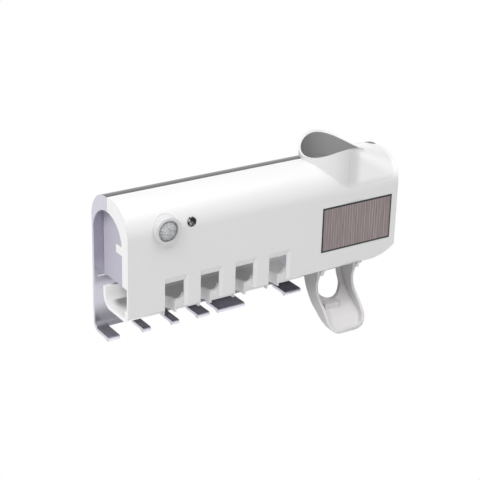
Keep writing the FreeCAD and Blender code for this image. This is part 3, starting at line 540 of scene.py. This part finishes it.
class DISPENSER_OT_sensors(bpy.types.Operator):
    """Make the faceted lens and finish the dark eye"""
    bl_idname = "dispenser.sensors"
    bl_label = "Make Sensors"

    def execute(self, context):
        settings = context.scene.dispenser_finish
        self.make_lens(settings)
        self.finish_eye(settings)
        return {"FINISHED"}

    def make_lens(self, settings):
        """A milky dome of ringed facets with a short round wall behind it."""
        shader = Shader("lens_moulding")
        cloud = shader.noise(shader.place(), scale=700.0).ramp(0.35, 0.65)
        colour = shader.mix(cloud, tone(settings.lens, 0.6), tone(settings.lens, 1.1))
        milky = shader.surface(Base_Color=colour, Roughness=cloud.about(0.30, 0.10), Subsurface_Weight=0.1)
        low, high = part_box("pir_lens")
        middle = (low + high) / 2
        fit = 0.998
        radius = (high.x - low.x) / 2 * fit
        set_back = 0.0003
        front = low.y + set_back
        rings = 7
        around = circle(36)
        fall = 0.0046
        ridge = 0.00012

        def dome(work):
            levels = []
            for ring in range(1, rings + 1):
                share = ring / rings
                out = radius * share
                level = front + fall * share * share + ridge * (ring % 2)
                points = [(middle.x + out * right, level, middle.z + out * up) for right, up in around]
                levels.append([work.verts.new(point) for point in points])
            top = work.verts.new((middle.x, front, middle.z))
            for here in range(len(around)):
                after = (here + 1) % len(around)
                work.faces.new((top, levels[0][here], levels[0][after]))
            back = [work.verts.new((point.co.x, high.y, point.co.z)) for point in levels[-1]]
            levels.append(back)
            for first, second in zip(levels, levels[1:]):
                bridge(work, first, second)

        lens = new_piece("lens_dome", dome, milky, "housing")
        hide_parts("pir_lens")

    def finish_eye(self, settings):
        """Polished black with a few bright specks, which are painted glints."""
        shader = Shader("dark_eye")
        spot = shader.place()
        cloud = shader.noise(spot, scale=500.0)
        # Painted glints: bright specks on the black.
        painted_glint = shader.noise(spot, scale=620.0, detail=1.0).ramp(0.56, 0.64)
        colour = shader.mix(cloud, grey(0.006), grey(0.02))
        colour = shader.mix(painted_glint, colour, tone(settings.glint))
        eye = shader.surface(Base_Color=colour, Roughness=cloud.about(0.30, 0.10), Specular_IOR_Level=0.2)
        dress(eye, "light_sensor")


class DISPENSER_OT_solar(bpy.types.Operator):
    """Finish the solar panel: ruled strips inside a dark border"""
    bl_idname = "dispenser.solar"
    bl_label = "Finish Solar Panel"

    def execute(self, context):
        settings = context.scene.dispenser_finish
        low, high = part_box("solar_panel")
        middle = (low + high) / 2
        border = settings.border_width
        half_width = (high.x - low.x) / 2 - border
        half_height = (high.z - low.z) / 2 - border
        shader = Shader("solar_cells")
        spot = shader.place()
        x, _, z = shader.parts(spot)

        strip = (x - (low.x + border)) * (settings.strips / (2 * half_width))
        groove = (strip.fraction() - 0.5).size().ramp(0.40, 0.47)
        drawn_out = (1.0, 1.0, 0.02)
        drawn = shader.node("ShaderNodeVectorMath", {"operation": "MULTIPLY"}, spot, drawn_out).out()
        streak = shader.noise(drawn, scale=3200.0, detail=3.0).ramp(0.3, 0.7)
        cell = shader.mix(streak, tone(settings.cell, 0.75), tone(settings.cell, 1.25))
        wear = shader.noise(drawn, scale=700.0, detail=1.0).ramp(0.35, 0.65).about(0.65, 0.7)
        ruled = shader.mix(groove * wear, cell, tone(settings.line))
        outside = (x - middle.x).size().over(half_width).most((z - middle.z).size().over(half_height))
        colour = shader.mix(outside, ruled, tone(settings.border))

        grain = shader.noise(spot, scale=700.0)
        normal = shader.bump(groove + grain * 0.1, 0.2)
        cells = shader.surface(Base_Color=colour, Roughness=grain.about(0.35, 0.10), Normal=normal)
        dress(cells, "solar_panel")
        return {"FINISHED"}


class DISPENSER_OT_pump(bpy.types.Operator):
    """Finish the pump and its rubber and steel pieces, and make its spring"""
    bl_idname = "dispenser.pump"
    bl_label = "Finish Pump"

    def execute(self, context):
        settings = context.scene.dispenser_finish
        shader = Shader("inner_moulding")
        spot = shader.place()
        cloud = shader.noise(spot, scale=50.0, detail=3.0)
        colour = shader.mix(cloud, tone(settings.inner, 0.95), tone(settings.inner))
        normal = shader.bump(shader.noise(spot, scale=1200.0), 0.1, shader.soft_edge(settings.edge))
        inner = shader.surface(Base_Color=colour, Roughness=cloud.about(0.45, 0.10), Normal=normal)
        dress(inner, "pump_cylinder", "divider")

        shader = Shader("soft_rubber")
        grain = shader.noise(shader.place(), scale=1500.0, detail=3.0)
        colour = shader.mix(grain, (0.22, 0.22, 0.23, 1.0), (0.30, 0.30, 0.31, 1.0))
        normal = shader.bump(grain, 0.15)
        rubber = shader.surface(Base_Color=colour, Roughness=grain.about(0.625, 0.15), Normal=normal)
        dress(rubber, "tube_seal", "inlet_valve", "piston_ring", "outlet_valve")

        shader = Shader("drawn_steel")
        grain = shader.noise(shader.place(), scale=1800.0, detail=3.0)
        colour = shader.mix(grain, (0.50, 0.50, 0.52, 1.0), (0.62, 0.62, 0.64, 1.0))
        steel = shader.surface(Base_Color=colour, Roughness=grain.about(0.275, 0.15), Metallic=1.0)
        dress(steel, "pump_plunger", "lever_pins", "cover_screws", "pir_sensor")
        self.make_spring(settings, steel)
        return {"FINISHED"}

    def make_spring(self, settings, steel):
        """The round-wire return spring; the share of its length it would keep at the plunger's top is
        worked out but not applied.
        """
        low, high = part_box("return_spring")
        middle = (low + high) / 2
        wire = settings.wire / 2
        radius = (high.x - low.x) / 2 - wire
        height = high.z - low.z - 2 * wire
        turns = settings.turns
        steps = 28
        flat_turn = 0.5
        section = circle(10)

        def coil(work):
            rings = []
            for step in range(turns * steps + 1):
                turn = step / steps
                angle = 2 * pi * turn
                rise = min(max((turn - flat_turn) / (turns - 2 * flat_turn), 0.0), 1.0)
                level = low.z + wire + height * rise
                ring = []
                for outward, upward in section:
                    out = radius + wire * outward
                    x = middle.x + out * cos(angle)
                    y = middle.y + out * sin(angle)
                    ring.append(work.verts.new((x, y, level + wire * upward)))
                rings.append(ring)
            for first, second in zip(rings, rings[1:]):
                bridge(work, first, second)
            work.faces.new(rings[0])
            work.faces.new(rings[-1])

        spring = new_piece("spring_coil", coil, steel, "housing")
        spring.data.shade_smooth()
        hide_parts("return_spring")
        joints = frame["record"]["behaviour"]["joints"]
        slide = next(joint for joint in joints if joint["name"] == "plunger_slide")
        fixed = slide["deforming_nodes"][0]["fixed_end_z_m"]
        keep = 1.0 - slide["range_m"][1] / (fixed - low.z)
        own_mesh(spring)


class DISPENSER_OT_inside(bpy.types.Operator):
    """Finish the boards, cell, holder, lamps, clear strip and wall pad"""
    bl_idname = "dispenser.inside"
    bl_label = "Finish Inside"

    def execute(self, context):
        # Each has its nodes, colour, roughness and the scale of its grain.
        plain = {
            "green_laminate": (("control_board", "lamp_board"), (0.02, 0.12, 0.05), 0.35, 500.0),
            "cell_wrap": (("battery_cell",), (0.05, 0.14, 0.38), 0.3, 120.0),
            "black_moulding": (("battery_holder",), (0.02, 0.02, 0.02), 0.45, 900.0),
            "lamp_resin": (("uv_lamps",), (0.55, 0.50, 0.80), 0.15, 300.0),
            "foam_tape": (("adhesive_pad",), (0.72, 0.72, 0.70), 0.85, 1600.0),
        }
        for name, (nodes, colour, rough, scale) in plain.items():
            shader = Shader(name)
            grain = shader.noise(shader.place(), scale, detail=3.0)
            mottled = shader.mix(grain, tone(colour, 0.85), tone(colour))
            normal = shader.bump(grain, 0.12)
            material = shader.surface(Base_Color=mottled, Roughness=grain.about(rough, 0.10), Normal=normal)
            dress(material, *nodes)

        shader = Shader("clear_strip")
        rough = shader.noise(shader.place(), scale=300.0).about(0.055, 0.05)
        clear = shader.surface(Base_Color=(0.92, 0.92, 0.97, 1.0), Roughness=rough, Transmission_Weight=0.9,
                               IOR=1.49)
        dress(clear, "lamp_cover")
        return {"FINISHED"}


class DISPENSER_OT_stage(bpy.types.Operator):
    """Set the floor, the soft light and the camera"""
    bl_idname = "dispenser.stage"
    bl_label = "Set Stage"

    def execute(self, context):
        scene = context.scene
        settings = scene.dispenser_stage
        scene.view_settings.view_transform = "Standard"
        self.set_camera(scene, settings)
        self.make_floor(scene, settings)
        self.set_light(scene, settings)
        return {"FINISHED"}

    def set_camera(self, scene, settings):
        camera = bpy.data.objects.new("photo_camera", bpy.data.cameras.new("photo_camera"))
        camera.data.sensor_fit = "HORIZONTAL"
        camera.data.sensor_width = 36.0
        camera.data.lens = settings.lens
        camera.data.clip_start = 0.02
        level = cos(settings.pitch)
        back = Vector((sin(settings.yaw) * level, -cos(settings.yaw) * level, sin(settings.pitch)))
        right = Vector((cos(settings.yaw), sin(settings.yaw), 0.0))
        up = back.cross(right)
        turn = Matrix((right, up, back)).transposed() @ Matrix.Rotation(settings.roll, 3, "Z")
        camera.matrix_world = Matrix.Translation(settings.place) @ turn.to_4x4()
        scene.collection.objects.link(camera)
        scene.camera = camera

    def make_floor(self, scene, settings):
        shader = Shader("pale_floor")
        cloud = shader.noise(shader.place(), scale=3.0)
        colour = shader.mix(cloud, grey(0.82), grey(0.86))
        material = shader.surface(Base_Color=colour, Roughness=0.9)
        shader.white_to_rays("ShaderNodeEmission", "Material Output")
        half = 6.0
        corners = [(-half, -half, 0), (half, -half, 0), (half, half, 0), (-half, half, 0)]
        mesh = bpy.data.meshes.new("floor")
        mesh.from_pydata(corners, [], [(0, 1, 2, 3)])
        mesh.materials.append(material)
        floor = bpy.data.objects.new("floor", mesh)
        floor.location.z = settings.floor
        scene.collection.objects.link(floor)

    def set_light(self, scene, settings):
        sky = Shader("studio", "worlds", "Background")
        scene.world = sky.surface(Color=grey(1.0), Strength=settings.sky)
        sky.white_to_rays("ShaderNodeBackground", "World Output")
        target = Vector((0.0, -0.03, 0.0))
        # Each lamp has its place, diameter and power.
        lamps = {
            "top_lamp": (Vector((0.1, -0.35, 1.1)), 1.2, settings.top_light),
            "left_lamp": (Vector((-1.0, -0.35, 1.0)), 0.8, settings.left_light),
        }
        for name, (place, size, power) in lamps.items():
            lamp = bpy.data.objects.new(name, bpy.data.lights.new(name, "AREA"))
            lamp.data.shape = "DISK"
            lamp.data.size = size
            lamp.data.energy = power
            lamp.location = place
            lamp.rotation_euler = (target - place).to_track_quat("-Z", "Y").to_euler()
            scene.collection.objects.link(lamp)


STEPS = (
    DISPENSER_OT_cover,
    DISPENSER_OT_rack,
    DISPENSER_OT_plate,
    DISPENSER_OT_sensors,
    DISPENSER_OT_solar,
    DISPENSER_OT_pump,
    DISPENSER_OT_inside,
    DISPENSER_OT_stage,
)


class DISPENSER_PT_panel(bpy.types.Panel):
    """Finishes and stage of the dispenser"""
    bl_idname = "DISPENSER_PT_panel"
    bl_label = "Dispenser"
    bl_space_type = "VIEW_3D"
    bl_region_type = "UI"
    bl_category = "Dispenser"

    def draw(self, context):
        for settings in (context.scene.dispenser_finish, context.scene.dispenser_stage):
            for key in settings.__annotations__:
                self.layout.prop(settings, key)
        for step in STEPS:
            self.layout.operator(step.bl_idname)


CLASSES = (DispenserFinish, DispenserStage, *STEPS, DISPENSER_PT_panel)


def register():
    for item in CLASSES:
        bpy.utils.register_class(item)
    bpy.types.Scene.dispenser_finish = bpy.props.PointerProperty(type=DispenserFinish)
    bpy.types.Scene.dispenser_stage = bpy.props.PointerProperty(type=DispenserStage)


def unregister():
    del bpy.types.Scene.dispenser_stage
    del bpy.types.Scene.dispenser_finish
    for item in reversed(CLASSES):
        bpy.utils.unregister_class(item)


def main():
    register()
    for step in STEPS:
        family, name = step.bl_idname.split(".")
        getattr(getattr(bpy.ops, family), name)()


if __name__ == "__main__":
    main()
